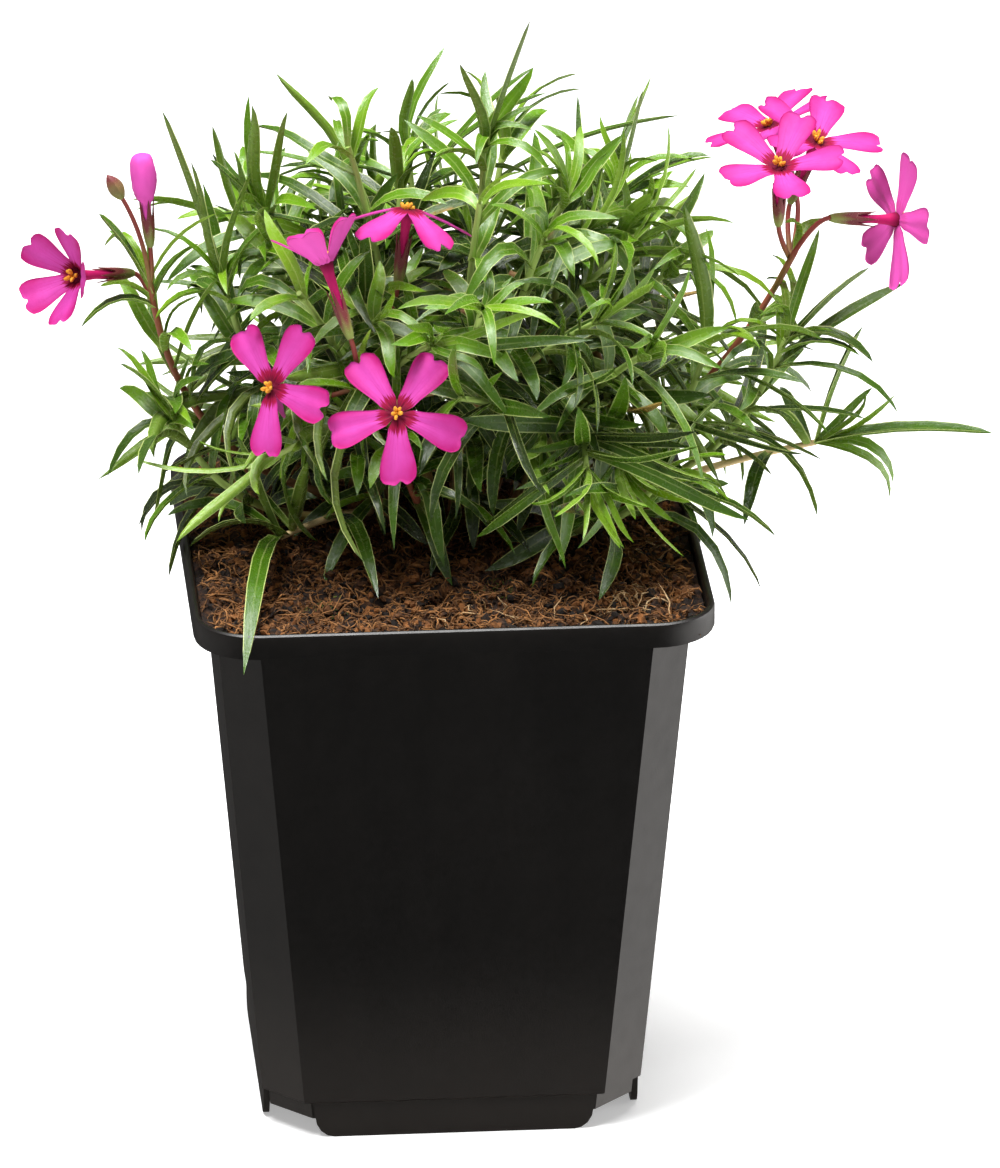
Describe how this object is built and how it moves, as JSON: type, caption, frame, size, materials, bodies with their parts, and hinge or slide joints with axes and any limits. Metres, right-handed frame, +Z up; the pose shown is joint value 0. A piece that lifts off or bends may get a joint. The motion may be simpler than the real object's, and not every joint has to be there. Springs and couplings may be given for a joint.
{
  "type": "creeping phlox plant in a nursery pot",
  "caption": "Creeping garden perennial with narrow pointed leaves and notched pink star-shaped flowers, growing in a square tapered nursery pot.",
  "frame": {"origin": "on the floor, at the middle of the pad under the pot's base", "axes": "+Z up, the pot's front side faces -Y, and the flower cluster leans to +X"},
  "size_m": [0.1702, 0.1141, 0.194],
  "materials": {
    "pot": "black moulded polypropylene, satin",
    "soil": "red-brown fibrous peat",
    "leaf": "green leaves and stems, slightly waxy",
    "petal": "bright pink petals, matt",
    "anther": "yellow-orange pollen"
  },
  "bodies": {
    "root": {"pot": "pot", "soil": "soil", "anthers_far_left": "anther", "anthers_far_right": "anther", "anthers_front": "anther", "anthers_left": "anther", "anthers_left_upper": "anther", "anthers_middle": "anther", "anthers_right_back": "anther", "anthers_right_front": "anther", "anthers_right_top": "anther", "corolla_far_left": "petal", "corolla_far_right": "petal", "corolla_front": "petal", "corolla_left": "petal", "corolla_left_upper": "petal", "corolla_middle": "petal", "corolla_right_back": "petal", "corolla_right_front": "petal", "corolla_right_top": "petal", "flowering_stem_front": "leaf", "flowering_stem_front_left": "leaf", "flowering_stem_left": "leaf", "flowering_stem_middle": "leaf", "flowering_stem_right": "leaf", "leafy_stem_02": "leaf", "leafy_stem_03": "leaf", "leafy_stem_04": "leaf", "leafy_stem_05": "leaf", "leafy_stem_06": "leaf", "leafy_stem_07": "leaf", "leafy_stem_08": "leaf", "leafy_stem_09": "leaf", "leafy_stem_10": "leaf", "leafy_stem_11": "leaf", "leafy_stem_12": "leaf", "leafy_stem_13": "leaf", "leafy_stem_14": "leaf", "leafy_stem_15": "leaf", "leafy_stem_16": "leaf", "leafy_stem_17": "leaf", "leafy_stem_left_low": "leaf", "leafy_stem_left_tall": "leaf", "leafy_stem_left_upper": "leaf", "leafy_stem_right_low": "leaf", "leafy_stem_right_outer": "leaf", "leafy_stem_right_upper": "leaf", "leafy_stem_tallest": "leaf", "leafy_stem_top_right": "leaf", "pink_bud": "petal", "runner_front": "leaf", "runner_right": "leaf"}
  },
  "joints": []
}
